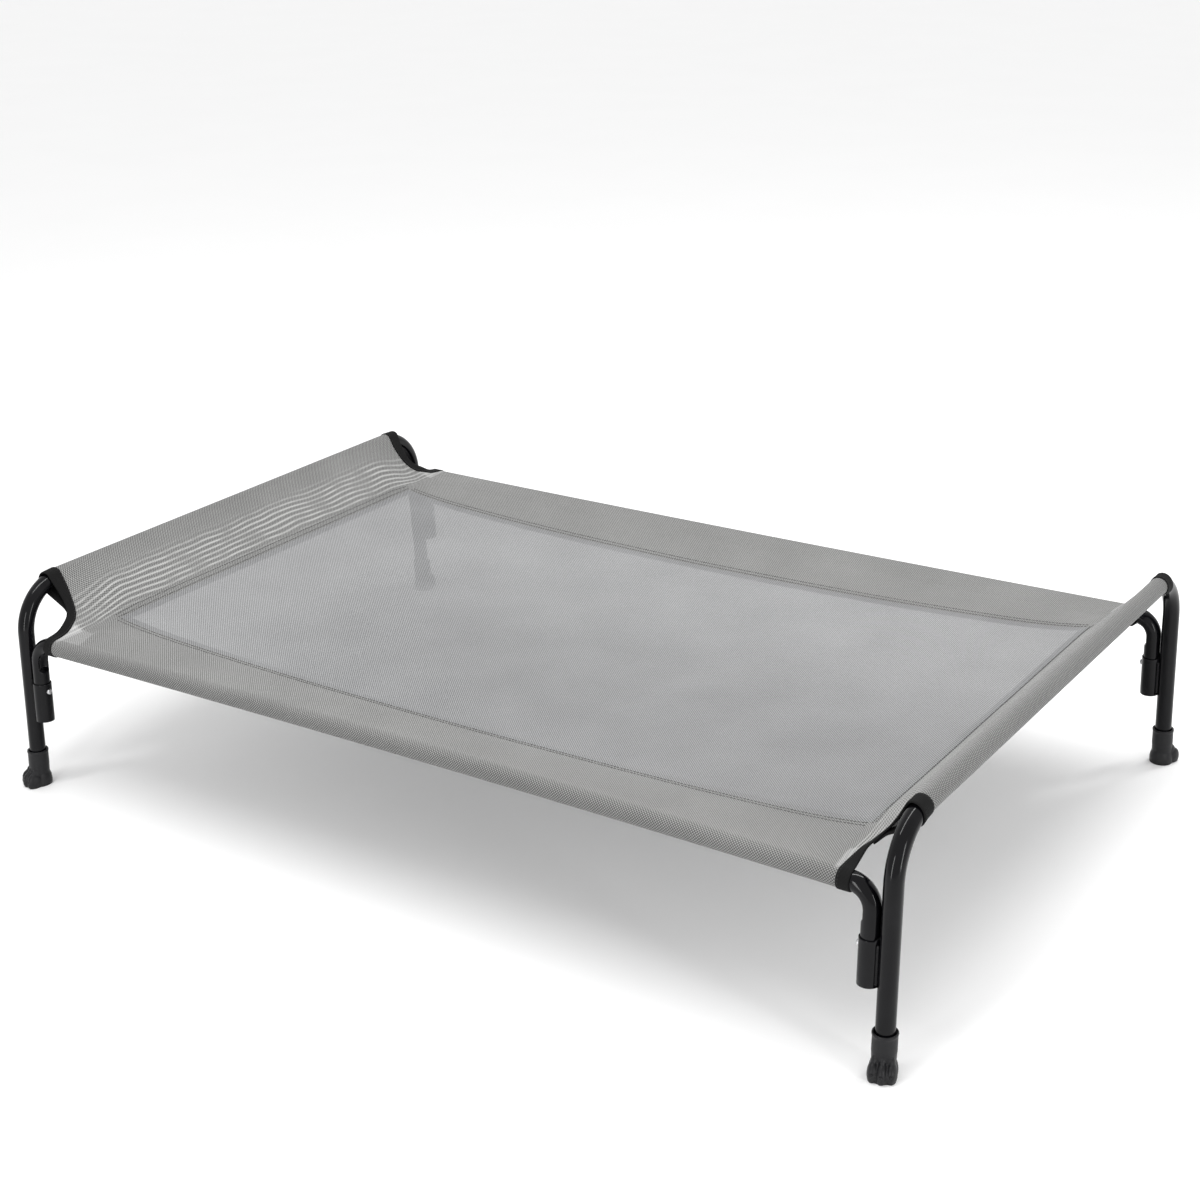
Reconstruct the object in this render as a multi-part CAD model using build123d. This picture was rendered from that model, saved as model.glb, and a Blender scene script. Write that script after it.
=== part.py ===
from build123d import *
import math
import os

# Raised dog bed: a frame of bent steel tube with a mesh sling stretched between its four sides.
# Millimetres. Origin on the floor under the middle of the bed, +Z up, +X from the head end to the
# foot end, +Y from the front side to the back side. The bed is the same at both ends and both sides.

# ---- driving dimensions ----
END_SPAN = 1180.0         # between the axes of the two end tubes
FOOT_SPAN = 777.0         # between the leg axes of one end, at the floor
END_HEIGHT = 258.0        # axis of the raised end tubes
RAIL_HEIGHT = 193.0       # axis of the side rails
LEG_SPLAY = 3.0           # degrees, legs lean outwards to the front and back
TUBE_D = 20.0
TUBE_WALL = 1.2
END_BEND_R = 61.0         # bend between leg and end tube, on the axis
RAIL_BEND_R = 24.0        # tight bend at each rail end, on the axis
RAIL_BOW = 5.5            # the sling pulls the middle of each rail inwards by this much

SOCKET_OFFSET = 20.6      # socket axis to leg axis, towards the middle of the bed
SOCKET_D = 22.8
SOCKET_BORE = 20.4
SOCKET_TOP = 141.0        # height of the rim
SOCKET_LENGTH = 50.0
TONGUE_ANGLE = 70.0       # width of the flared tongue round the rim, degrees
TONGUE_RISE = 5.5
TONGUE_FLARE = 3.2
WELD_SIZE = 2.4
WELD_LENGTH = 42.0
RAIL_INSERT = 44.0        # length of rail end inside the socket
DIMPLE_SIZE = (7, 8.5, 18)  # half sizes of the tool that presses the inside of the rail bend
DIMPLE_DROP = 25.0        # from the rail axis down to the middle of the dimple
DIMPLE_LEAN = 10.0        # degrees, the dimple follows the bend

BUTTON_D = 7.0
BUTTON_CLEARANCE = 0.1    # radial, in the rail wall and in the socket wall
BUTTON_DROP = 10.0        # from the rim down to the button axis, along the socket
BUTTON_TIP = 14.0         # from the socket axis to the button's tip, at rest
BUTTON_ROOT = 5.5         # from the socket axis to the button's inner end
BUTTON_DOME = 2.0
SPRING_THICKNESS = 0.6
SPRING_WIDTH = 6.0

JOINER_D = 17.4
JOINER_WALL = 1.2
JOINER_LENGTH = 140.0
MIDDLE_GAP = 0.2          # hairline between two tube halves

FOOT_LIFT = 6.0           # rubber under the end of the leg
COLLAR_D = 25.4
COLLAR_TOP = 46.0
PAW_SIZE = (14.5, 14, 24) # half sizes of the rounded heel
PAW_TURN = 20.0           # degrees, the paws point outwards and a little away from the bed's middle
TOE_SIZE = (5.9, 10, 14)  # half sizes of a toe
TOE_LIFT = 5.0            # height of a toe's centre
TOE_REACH = 12.5          # from the leg axis to the centre of the middle toe
OUTER_TOE_REACH = 10.5
TOE_SPACING = 8.8

CLOTH = 1.0               # mesh thickness
EASE = 0.3                # gap between mesh and tube
END_SEAM_X = 521.0        # stitching lines of the head and foot sleeves
SIDE_SEAM_Y = 285.0       # stitching lines of the front and back sleeves, at the corners
CORNER_SEAM_Z = 204.0     # height of the stitching at the corners and along the end seams
SIDE_SEAM_DIP = 22.0      # the side seams hang this far below the corners at mid length
CENTRE_SAG = 12.0         # the middle of the bed hangs this far below the side seams
SEAM_GAP = 0.4            # between the sling's panels
END_MOUTH_Y = 338.0       # where the head and foot sleeves end
SIDE_MOUTH_X = 548.0      # where the front and back sleeves end
TAPE_WIDTH = 18.0
TAPE = 1.2                # thickness of the binding tape
TAPE_EASE = 2.3           # the tape stands this much further off the bending tubes than the cloth does
RING_DROP = 1.5           # the tape round an end tube hangs with the start of the bend
NOTCH_REACH = 32.0        # half size of the part of each mouth that stays round its tube
NOTCH_R = 12.0
STRIP_WIDTH = 10.0

# ---- derived ----
END_X = END_SPAN / 2
SOCKET_X = END_X - SOCKET_OFFSET
TUBE_R = TUBE_D / 2
LEAN = math.tan(math.radians(LEG_SPLAY))
LEG_AXIS = Vector(0, -math.sin(math.radians(LEG_SPLAY)), math.cos(math.radians(LEG_SPLAY)))
CORNERS = {"head_front": (-1, -1), "head_back": (-1, 1), "foot_front": (1, -1), "foot_back": (1, 1)}


def leg_y(z):
    """Distance of a leg's axis from the bed's centre line at height z."""
    return FOOT_SPAN / 2 - z * LEAN


BOW_END_X = SOCKET_X - RAIL_BEND_R - 5
BOW_R = (BOW_END_X**2 + RAIL_BOW**2) / (2 * RAIL_BOW)
BOW_SLOPE = BOW_END_X / math.sqrt(BOW_R**2 - BOW_END_X**2)
RAIL_END_Y = leg_y(RAIL_HEIGHT) - (SOCKET_X - BOW_END_X) * BOW_SLOPE


def rail_y(x):
    """Distance of a rail's axis from the bed's centre line, along its bowed length."""
    return RAIL_END_Y - RAIL_BOW + BOW_R - math.sqrt(BOW_R**2 - x**2)


def to_corner(shape, sx, sy):
    """Carry a shape built at the foot_back corner to another corner."""
    if sx < 0:
        shape = mirror(shape, about=Plane.YZ)
    if sy < 0:
        shape = mirror(shape, about=Plane.XZ)
    return shape


def hollow_sweep(path, outer_r, inner_r):
    """A round tube along a path."""
    start = Plane(origin=path @ 0, z_dir=path % 0)
    return sweep(start * (Circle(outer_r) - Circle(inner_r)), path=path)


# ---- frame ----
def corner_leg():
    """Leg, bend and half of the raised end tube, in one bent tube."""
    path = FilletPolyline(
        (END_X, leg_y(FOOT_LIFT), FOOT_LIFT),
        (END_X, leg_y(END_HEIGHT), END_HEIGHT),
        (END_X, MIDDLE_GAP / 2, END_HEIGHT),
        radius=END_BEND_R,
    )
    return hollow_sweep(path, TUBE_R, TUBE_R - TUBE_WALL)


def end_joiner():
    """Tube inside the two halves of an end tube."""
    ring = Circle(JOINER_D / 2) - Circle(JOINER_D / 2 - JOINER_WALL)
    return extrude(Plane((END_X, 0, END_HEIGHT), z_dir=(0, 1, 0)) * ring, JOINER_LENGTH / 2, both=True)


def bow_point(x):
    return (x, rail_y(x), RAIL_HEIGHT)


def rail_path():
    """From mid length along the bowed rail, round the bend and down the socket."""
    bow = ThreePointArc(
        bow_point(MIDDLE_GAP / 2), bow_point(BOW_END_X / 2), bow_point(BOW_END_X)
    )
    tip_z = SOCKET_TOP - RAIL_INSERT
    turn = FilletPolyline(
        bow_point(BOW_END_X),
        (SOCKET_X, leg_y(RAIL_HEIGHT), RAIL_HEIGHT),
        (SOCKET_X, leg_y(tip_z), tip_z),
        radius=RAIL_BEND_R,
    )
    return Wire(bow.edges() + turn.edges())


def button_bore():
    """Round hole for the snap button, through the wall that faces the middle of the bed."""
    hole = Plane(button_centre(), z_dir=(-1, 0, 0)) * Circle(BUTTON_D / 2 + BUTTON_CLEARANCE)
    return extrude(hole, SOCKET_D)


def button_centre():
    drop = LEG_AXIS * BUTTON_DROP
    return Vector(SOCKET_X, leg_y(SOCKET_TOP), SOCKET_TOP) - drop


def dimple(grow):
    """Pressed hollow on the inside of the rail's bend."""
    z = RAIL_HEIGHT - DIMPLE_DROP
    tool = scale(Sphere(1), by=tuple(size + grow for size in DIMPLE_SIZE))
    return Pos(SOCKET_X - TUBE_R - 3.5, leg_y(z), z) * Rot(0, -DIMPLE_LEAN, 0) * tool


def side_rail_half():
    """Half a side rail, its wall pressed in at the dimple."""
    path = rail_path()
    start = Plane(origin=path @ 0, z_dir=path % 0)
    outer = sweep(start * Circle(TUBE_R), path=path) - dimple(0)
    inner = sweep(start * Circle(TUBE_R - TUBE_WALL), path=path) - dimple(TUBE_WALL)
    return outer - inner - button_bore()


def rail_joiner():
    """Tube inside the two halves of a back rail, bowed with it."""
    half = JOINER_LENGTH / 2
    path = ThreePointArc(
        (-half, rail_y(half), RAIL_HEIGHT), (0, rail_y(0), RAIL_HEIGHT), (half, rail_y(half), RAIL_HEIGHT)
    )
    return hollow_sweep(path, JOINER_D / 2, JOINER_D / 2 - JOINER_WALL)


def socket():
    """Short tube welded beside the leg, with a flared tongue above the button."""
    rim = Plane((SOCKET_X, leg_y(SOCKET_TOP), SOCKET_TOP), x_dir=(1, 0, 0), z_dir=LEG_AXIS)
    outer_r = SOCKET_D / 2
    wall = outer_r - SOCKET_BORE / 2
    body = extrude(rim * Circle(outer_r), -SOCKET_LENGTH)
    flare = Plane.XZ * Polygon(
        (outer_r - wall, -1),
        (outer_r, -1),
        (outer_r + TONGUE_FLARE, TONGUE_RISE),
        (outer_r + TONGUE_FLARE - wall, TONGUE_RISE),
        align=None,
    )
    tongue = Rot(0, 0, 180 - TONGUE_ANGLE / 2) * revolve(flare, Axis.Z, TONGUE_ANGLE)
    weld_start = rim.offset(-(SOCKET_LENGTH - WELD_LENGTH) / 2)
    for side in (-1, 1):
        body += extrude(weld_start * Pos(outer_r - 1, side * 5.4) * Circle(WELD_SIZE), -WELD_LENGTH)
    body += rim.location * tongue
    bore = extrude(rim * Circle(SOCKET_BORE / 2), SOCKET_LENGTH, both=True)
    leg_room = extrude(rim * Pos(SOCKET_OFFSET, 0) * Circle(TUBE_R + 0.05), SOCKET_LENGTH * 2, both=True)
    return body - bore - leg_room - button_bore()


def snap_button():
    """Domed pin that locks the rail end into its socket."""
    pin = Plane(button_centre(), z_dir=(-1, 0, 0)).offset(BUTTON_ROOT) * Circle(BUTTON_D / 2)
    body = extrude(pin, BUTTON_TIP - BUTTON_ROOT)
    return fillet(body.edges().sort_by(Axis.X)[0], BUTTON_DOME)


def button_spring():
    """V-shaped strip inside the rail end; one arm carries the button, the other rests on the wall."""
    near = BUTTON_ROOT - SPRING_THICKNESS
    bore = TUBE_R - TUBE_WALL
    wall = math.sqrt(bore**2 - (SPRING_WIDTH / 2) ** 2) - SPRING_THICKNESS
    plane = Plane(button_centre(), x_dir=(1, 0, 0), z_dir=(0, -1, 0))
    line = FilletPolyline((-near, 5), (-near, -7), (1, -29), (wall, -6), (wall, 4), radius=2)
    return extrude(plane * trace(line, SPRING_THICKNESS), SPRING_WIDTH / 2, dir=(0, 1, 0), both=True)


def paw_foot():
    """Rubber cap: a collar on the leg and a paw with three toes that point outwards."""
    base = Plane((END_X, leg_y(0), 0), x_dir=(1, 0, 0), z_dir=LEG_AXIS)
    collar = extrude(base * Circle(COLLAR_D / 2), COLLAR_TOP)
    paw = scale(Sphere(1), by=PAW_SIZE)
    for index in (-1, 0, 1):
        reach = TOE_REACH if index == 0 else OUTER_TOE_REACH
        paw += Pos(index * TOE_SPACING, reach, TOE_LIFT) * scale(Sphere(1), by=TOE_SIZE)
    body = collar + Pos(END_X, leg_y(0), 0) * Rot(0, 0, -PAW_TURN) * paw
    ground = Pos(END_X, leg_y(0), -50) * Box(200, 200, 100)
    bore = extrude(base.offset(FOOT_LIFT) * Circle(TUBE_R + 0.05), COLLAR_TOP * 2)
    return body - ground - bore


# ---- sling ----
def side_seam_z(x):
    """Height of the front and back stitching lines, which hang a little between the corners."""
    u = abs(x) / END_SEAM_X
    return CORNER_SEAM_Z - SIDE_SEAM_DIP + SIDE_SEAM_DIP * (0.7 * u**2 + 0.3 * u**12)


def side_seam_y(x):
    """Distance of the front and back stitching lines from the bed's centre line."""
    return SIDE_SEAM_Y - (rail_y(END_SEAM_X) - rail_y(x))


def sling_z(x, y):
    """Height of the middle of the sling."""
    across = 1 - (y / side_seam_y(x)) ** 2
    along = 1 - (x / END_SEAM_X) ** 2
    return side_seam_z(x) - CENTRE_SAG * across * along


def loop_wire(tube_x, tube_z, seam_x, seam_z, tube_r, seam_r):
    """Teardrop outline round a tube and its stitching line, in the plane's own axes."""
    dx = seam_x - tube_x
    dz = seam_z - tube_z
    span = math.hypot(dx, dz)
    heading = math.atan2(dz, dx)
    lift = math.acos((tube_r - seam_r) / span)

    def on_circle(cx, cz, radius, angle):
        return (cx + radius * math.cos(angle), cz + radius * math.sin(angle))

    a = on_circle(tube_x, tube_z, tube_r, heading + lift)
    b = on_circle(tube_x, tube_z, tube_r, heading + math.pi)
    c = on_circle(tube_x, tube_z, tube_r, heading - lift)
    d = on_circle(seam_x, seam_z, seam_r, heading - lift)
    e = on_circle(seam_x, seam_z, seam_r, heading)
    f = on_circle(seam_x, seam_z, seam_r, heading + lift)
    outline = ThreePointArc(a, b, c) + Line(c, d) + ThreePointArc(d, e, f) + Line(f, a)
    return Wire(outline.edges())


def end_section(gap, thickness, at_y, drop=0.0):
    """Loop of cloth round an end tube, as a flat section at one y."""
    args = (END_X, END_HEIGHT - drop, END_SEAM_X + 2, CORNER_SEAM_Z + 1)
    plane = Plane((0, at_y, 0), x_dir=(1, 0, 0), z_dir=(0, -1, 0))
    outer = Face(loop_wire(*args, TUBE_R + gap + thickness, thickness + 0.2))
    inner = Face(loop_wire(*args, TUBE_R + gap, 0.2))
    return plane * (outer - inner)


def end_sleeve():
    """Head or foot edge of the sling, folded round the end tube and stitched to itself."""
    half = END_MOUTH_Y - TAPE_WIDTH - SEAM_GAP
    return extrude(end_section(EASE, CLOTH, 0), half, both=True)


def side_loop(x, gap, thickness):
    """Outline of the cloth round the back rail at one x."""
    plane = Plane((x, 0, 0), x_dir=(0, 1, 0), z_dir=(1, 0, 0))
    seam_y = side_seam_y(min(abs(x), END_SEAM_X)) + 2
    seam_z = side_seam_z(min(abs(x), END_SEAM_X))
    return plane * loop_wire(rail_y(x), RAIL_HEIGHT, seam_y, seam_z, TUBE_R + gap + thickness, thickness + 0.2)


def side_sleeve():
    """Front or back edge of the sling, folded round the rail and stitched to itself."""
    end = END_SEAM_X - SEAM_GAP
    stations = [end * step for step in (-1, -0.93, -0.8, -0.5, 0, 0.5, 0.8, 0.93, 1)]
    outer = Solid.make_loft([side_loop(x, EASE, CLOTH) for x in stations], ruled=True)
    inner = Solid.make_loft([side_loop(x, EASE, 0.0) for x in stations], ruled=True)
    return outer - inner


def centre_panel():
    """The single layer inside the four stitching lines."""
    edge_x = END_SEAM_X - SEAM_GAP
    rows = []
    for i in range(-6, 7):
        x = edge_x * math.sin(math.pi / 2 * i / 6)
        edge_y = side_seam_y(x) - SEAM_GAP
        rows.append([Vector(x, edge_y * j / 4, sling_z(x, edge_y * j / 4)) for j in range(-4, 5)])
    return Solid.thicken(Face.make_surface_from_array_of_points(rows), CLOTH / 2, normal_override=(0, 0, 1))


def corner_binding():
    """Tape round both sleeve mouths at the foot_back corner and along the notch between them."""
    end_ring = extrude(end_section(EASE + TAPE_EASE, TAPE, END_MOUTH_Y, RING_DROP), TAPE_WIDTH)
    end_ring &= Pos(END_X, END_MOUTH_Y, END_HEIGHT) * Box(2 * NOTCH_REACH, 100, 100)
    loop = Face(side_loop(SIDE_MOUTH_X, EASE + TAPE_EASE, TAPE)) - Face(side_loop(SIDE_MOUTH_X, EASE + TAPE_EASE, 0))
    side_ring = extrude(loop, -(SIDE_MOUTH_X - END_SEAM_X - SEAM_GAP))
    side_ring &= Pos(END_SEAM_X, leg_y(RAIL_HEIGHT), RAIL_HEIGHT) * Box(100, 2 * NOTCH_REACH, 100)
    slope = (END_HEIGHT + TUBE_R - CORNER_SEAM_Z) / (END_X - END_SEAM_X)
    across = Vector(1, 0, slope).normalized()
    notch = FilletPolyline(
        (END_X - NOTCH_REACH + 3, END_MOUTH_Y - TAPE_WIDTH / 2, END_HEIGHT - 8),
        (END_X - NOTCH_REACH - 8, END_MOUTH_Y + 14, CORNER_SEAM_Z + 20),
        (END_SEAM_X + 7, leg_y(RAIL_HEIGHT) - NOTCH_REACH + 6, CORNER_SEAM_Z),
        radius=NOTCH_R,
    )
    start = Plane(origin=notch @ 0, x_dir=across, z_dir=notch % 0)
    strip = sweep(start * Rectangle(STRIP_WIDTH, 2 * TAPE), path=notch)
    return end_ring + strip + side_ring


# ---- write one file for each piece ----
os.makedirs("parts", exist_ok=True)


def save(shape, name):
    shape.label = name
    export_step(shape, os.path.join("parts", name + ".step"))


corner_pieces = {
    "corner_leg": corner_leg(),
    "side_rail": side_rail_half(),
    "socket": socket(),
    "snap_button": snap_button(),
    "button_spring": button_spring(),
    "paw_foot": paw_foot(),
    "corner_binding": corner_binding(),
}
for corner, (sx, sy) in CORNERS.items():
    for piece, shape in corner_pieces.items():
        save(to_corner(shape, sx, sy), f"{piece}_{corner}")

for end, sx in (("head", -1), ("foot", 1)):
    save(to_corner(end_joiner(), sx, 1), f"end_joiner_{end}")
    save(to_corner(end_sleeve(), sx, 1), f"sling_sleeve_{end}")
for side, sy in (("front", -1), ("back", 1)):
    save(to_corner(rail_joiner(), 1, sy), f"rail_joiner_{side}")
    save(to_corner(side_sleeve(), 1, sy), f"sling_sleeve_{side}")
save(centre_panel(), "sling_centre")
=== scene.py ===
import math

import bmesh
import bpy
import numpy as np
from mathutils import Matrix, Vector


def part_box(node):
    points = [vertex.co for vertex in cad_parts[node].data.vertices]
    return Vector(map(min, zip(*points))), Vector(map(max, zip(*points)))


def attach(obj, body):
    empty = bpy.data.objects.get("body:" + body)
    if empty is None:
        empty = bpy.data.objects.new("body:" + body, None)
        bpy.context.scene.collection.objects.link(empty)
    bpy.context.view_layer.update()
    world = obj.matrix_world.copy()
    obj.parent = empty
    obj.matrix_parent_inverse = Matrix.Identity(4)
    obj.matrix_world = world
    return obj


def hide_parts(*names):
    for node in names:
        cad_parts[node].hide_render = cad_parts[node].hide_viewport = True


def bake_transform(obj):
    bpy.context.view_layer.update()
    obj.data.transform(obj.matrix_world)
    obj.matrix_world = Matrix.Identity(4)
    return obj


# Raised dog bed. Lengths are in millimetres until a mesh is made, and +X runs to the foot end,
# +Y to the back side. Pieces that repeat are shaped at the foot_back corner and mirrored.
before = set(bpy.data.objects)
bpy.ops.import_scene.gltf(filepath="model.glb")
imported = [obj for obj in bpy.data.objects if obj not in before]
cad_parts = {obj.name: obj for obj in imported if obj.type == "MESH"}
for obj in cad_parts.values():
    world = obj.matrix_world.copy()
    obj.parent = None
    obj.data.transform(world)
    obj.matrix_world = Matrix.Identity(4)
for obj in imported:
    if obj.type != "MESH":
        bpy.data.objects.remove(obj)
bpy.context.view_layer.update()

MM = 0.001
CORNERS = {"head_front": (-1, -1), "head_back": (-1, 1), "foot_front": (1, -1), "foot_back": (1, 1)}


def box_mm(node):
    """A node's lowest and highest corner in millimetres."""
    low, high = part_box(node)
    return np.array(low) / MM, np.array(high) / MM


# ---- sizes read from the frame ----
leg_low, leg_high = box_mm("corner_leg_foot_back")
rail_low, rail_high = box_mm("side_rail_foot_back")
foot_high = box_mm("paw_foot_foot_back")[1]
centre_high = box_mm("sling_centre")[1]

LEAN_ANGLE = math.radians(3)
LEAN = math.tan(LEAN_ANGLE)
LEG_AXIS = np.array([0, -math.sin(LEAN_ANGLE), math.cos(LEAN_ANGLE)])
LEG_ACROSS = np.array([0, LEG_AXIS[2], -LEG_AXIS[1]])
END_X = (leg_low[0] + leg_high[0]) / 2
TUBE_R = (leg_high[0] - leg_low[0]) / 2
END_Z = leg_high[2] - TUBE_R
RAIL_Z = rail_high[2] - TUBE_R
SOCKET_X = rail_high[0] - TUBE_R
LEG_BOTTOM = leg_low[2] + TUBE_R * math.sin(LEAN_ANGLE)
FLOOR_Y = leg_high[1] - TUBE_R * math.cos(LEAN_ANGLE) + LEG_BOTTOM * LEAN
RAIL_MID_Y = rail_low[1] + TUBE_R
RAIL_TIP_Z = rail_low[2] + TUBE_R * math.sin(LEAN_ANGLE)

# ---- sizes set here ----
END_BEND_R = 61.0
RAIL_BEND_R = 24.0
RAIL_BOW = 5.5              # how far a side rail bows towards the bed's middle
DIMPLE_DEPTH = 7.0
DIMPLE_HALF_WIDTH = 10.5
DIMPLE_FULL = 24.0          # lengths along the rail past the start of its bend: the hollow is full,
DIMPLE_FADES = 45.0         # starts to fade,
DIMPLE_ENDS = 54.0          # and is gone
SOCKET_TOP = 141.0
SOCKET_LENGTH = 50.0
SOCKET_R = 11.4
SOCKET_BORE_R = 10.3
TONGUE_RISE = 6.5
TONGUE_FLARE = 4.0
TONGUE_HALF_ANGLE = math.radians(44)
BUTTON_Z = SOCKET_TOP - 10 * math.cos(LEAN_ANGLE)
HOLE_R = 3.6                # the snap button's hole
HOLE_CUT_MIDDLE = 16.0      # from the rail end's axis to the middle of the hole's cut
SOCKET_CUT = 24.0           # length of the cut through the socket's wall
RAIL_CUT = 32.0             # the same for the rail, as deep as its axis, where the button goes
SPRING_THICKNESS = 0.6
PAW_TURN = math.radians(20)  # the paws point outwards and a little away from the bed's middle

SEAM_X = centre_high[0] + 0.4
SEAM_Y = 285.0
SEAM_Z = 204.0
SIDE_DIP = 22.0             # how far the side seams hang below the end seams at mid length
CENTRE_SAG = 12.0           # and the centre below the side seams
MOUTH_X = 548.0             # the side sleeves end here on the flat cloth,
MOUTH_Y = 338.5             # and the end sleeves here
CLOTH_R = TUBE_R + 0.8      # the cloth's middle surface where it goes round a tube
HEM = 9.0                   # cloth past the stitching, under the centre panel
LAYER_GAP = 1.0             # between the two layers along a seam


def leg_y(z):
    """Distance of a leg's axis from the bed's centre line at height z."""
    return FLOOR_Y - z * LEAN


BOW_END_X = SOCKET_X - RAIL_BEND_R - 5  # a rail's bow ends a little before its bend
BOW_R = (BOW_END_X**2 + RAIL_BOW**2) / (2 * RAIL_BOW)


def rail_y(x):
    """Distance of a rail's axis from the bed's centre line, along its bowed length."""
    return RAIL_MID_Y + BOW_R - np.sqrt(BOW_R**2 - np.minimum(np.abs(x), BOW_END_X) ** 2)


def smooth(low, high, value):
    """0 below low, 1 above high, and a smooth step between."""
    t = np.clip((value - low) / (high - low), 0, 1)
    return t * t * (3 - 2 * t)


def loop_lengths(tube_u, tube_z, seam_u, seam_z):
    """Slope's length, length round the tube, and the angle at which the slope meets the tube."""
    span = np.hypot(seam_u - tube_u, seam_z - tube_z)
    lift = np.arccos(CLOTH_R / span)
    slope = np.sqrt(span**2 - CLOTH_R**2)
    heading = np.arctan2(seam_z - tube_z, seam_u - tube_u)
    return slope, CLOTH_R * (2 * math.pi - 2 * lift), heading - lift


END_SLOPE, END_WRAP, END_ANGLE = (float(v) for v in loop_lengths(END_X, END_Z, SEAM_X, SEAM_Z))
SIDE_SLOPE, SIDE_WRAP, _ = (float(v) for v in loop_lengths(rail_y(SEAM_X), RAIL_Z, SEAM_Y, SEAM_Z))
P_TUBE = SEAM_X + END_SLOPE            # cloth lengths from the bed's middle: to the end tube,
P_BACK = P_TUBE + END_WRAP             # past it,
P_SEAM = P_BACK + END_SLOPE            # back at the seam underneath
P_HEM = P_SEAM + HEM
Q_TUBE = SEAM_Y + SIDE_SLOPE
Q_BACK = Q_TUBE + SIDE_WRAP
Q_SEAM = Q_BACK + SIDE_SLOPE
Q_HEM = Q_SEAM + HEM
END_RUN = (END_X + CLOTH_R * math.cos(END_ANGLE) - SEAM_X) / END_SLOPE  # for a unit of the end slope
END_RISE = (END_Z + CLOTH_R * math.sin(END_ANGLE) - SEAM_Z) / END_SLOPE
BEND_Y = leg_y(END_Z) - END_BEND_R * math.tan((math.pi / 2 - LEAN_ANGLE) / 2)  # an end tube bends here


# ---- materials ----
FAR_SEAM, FAR_TUBE, FAR_BACK = (v * MM for v in (SEAM_X, P_TUBE, P_BACK))  # the same lengths in metres
WIDE_TUBE, WIDE_BACK = Q_TUBE * MM, Q_BACK * MM
WEAVE = 0.0016              # metres between yarns of the mesh
STREAK_PITCH = 0.0072       # metres between the pale streaks on the end slopes
STREAKS_FROM = 0.008        # metres up an end slope where the streaks start to show,
STREAKS_TO = 0.068          # and where the last has gone
PATCH_FAR = 0.528           # inner corner of the pale patch at each corner of the flat cloth
PATCH_WIDE = 0.341
RIB_PITCH = 0.0011          # metres between the ribs of the tape,
TWILL_PITCH = 0.0016        # and between the slanting lines across them


def grey(value):
    return (value, value, value, 1)


def principled(name, color, roughness, **sockets):
    """A new material and its shader, with constants set on the sockets named, spaces written _."""
    material = bpy.data.materials.new(name)
    material.use_nodes = True
    shader = material.node_tree.nodes["Principled BSDF"]
    shader.inputs["Base Color"].default_value = (*color, 1)
    shader.inputs["Roughness"].default_value = roughness
    for socket, value in sockets.items():
        shader.inputs[socket.replace("_", " ")].default_value = value
    return material, shader


class Nodes:
    """Short forms for building a material's node tree."""

    def __init__(self, material):
        self.tree = material.node_tree

    def new(self, kind, **settings):
        node = self.tree.nodes.new(kind)
        for key, value in settings.items():
            setattr(node, key, value)
        return node

    def put(self, socket, value):
        if isinstance(value, bpy.types.NodeSocket):
            self.tree.links.new(value, socket)
        else:
            socket.default_value = value

    def math(self, operation, a, b=0.0, clamp=False):
        node = self.new("ShaderNodeMath", operation=operation, use_clamp=clamp)
        self.put(node.inputs[0], a)
        self.put(node.inputs[1], b)
        return node.outputs[0]

    def times(self, a, b):
        return self.math("MULTIPLY", a, b)

    def noise(self, vector, scale, detail):
        node = self.new("ShaderNodeTexNoise")
        self.put(node.inputs["Vector"], vector)
        node.inputs["Scale"].default_value = scale
        node.inputs["Detail"].default_value = detail
        return node.outputs[0]

    def span(self, value, from_low, from_high, low, high):
        """value taken from one range to another, held at its ends."""
        node = self.new("ShaderNodeMapRange", clamp=True)
        for socket, number in zip(node.inputs[:5], (value, from_low, from_high, low, high)):
            self.put(socket, number)
        return node.outputs[0]

    def between(self, value, starts, full, fades, ends):
        """1 from full to fades, and 0 before starts and after ends."""
        return self.times(self.span(value, starts, full, 0, 1), self.span(value, fades, ends, 1, 0))

    def mix(self, share, a, b):
        node = self.new("ShaderNodeMix", data_type="RGBA")
        self.put(node.inputs[0], share)
        self.put(node.inputs[6], a)
        self.put(node.inputs[7], b)
        return node.outputs[2]

    def bump(self, shader, height, distance, strength):
        node = self.new("ShaderNodeBump")
        node.inputs["Strength"].default_value = strength
        node.inputs["Distance"].default_value = distance
        self.put(node.inputs["Height"], height)
        self.put(shader.inputs["Normal"], node.outputs[0])

    def place(self):
        return self.new("ShaderNodeTexCoord").outputs["Object"]

    def cloth_place(self):
        """Place on the flat cloth in metres, whole and as its lengths along and across."""
        uv = self.new("ShaderNodeUVMap", uv_map="flat").outputs[0]
        node = self.new("ShaderNodeSeparateXYZ")
        self.put(node.inputs[0], uv)
        return uv, node.outputs[0], node.outputs[1]


def powder_coat():
    """Gloss black coat with a faint orange peel, duller and a little paler in patches."""
    material, shader = principled("powder_coat_black", (0.003, 0.003, 0.0036), 0.1, Specular_IOR_Level=0.17)
    n = Nodes(material)
    place = n.place()
    dull = n.noise(place, 35, 4)
    n.put(shader.inputs["Roughness"], n.span(dull, 0.35, 0.75, 0.08, 0.15))
    dust = n.span(dull, 0.5, 0.8, 0, 1)
    n.put(shader.inputs["Base Color"], n.mix(dust, (0.002, 0.002, 0.0026, 1), (0.005, 0.005, 0.006, 1)))
    n.bump(shader, n.noise(place, 700, 2), 0.00006, 0.3)
    return material


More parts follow.
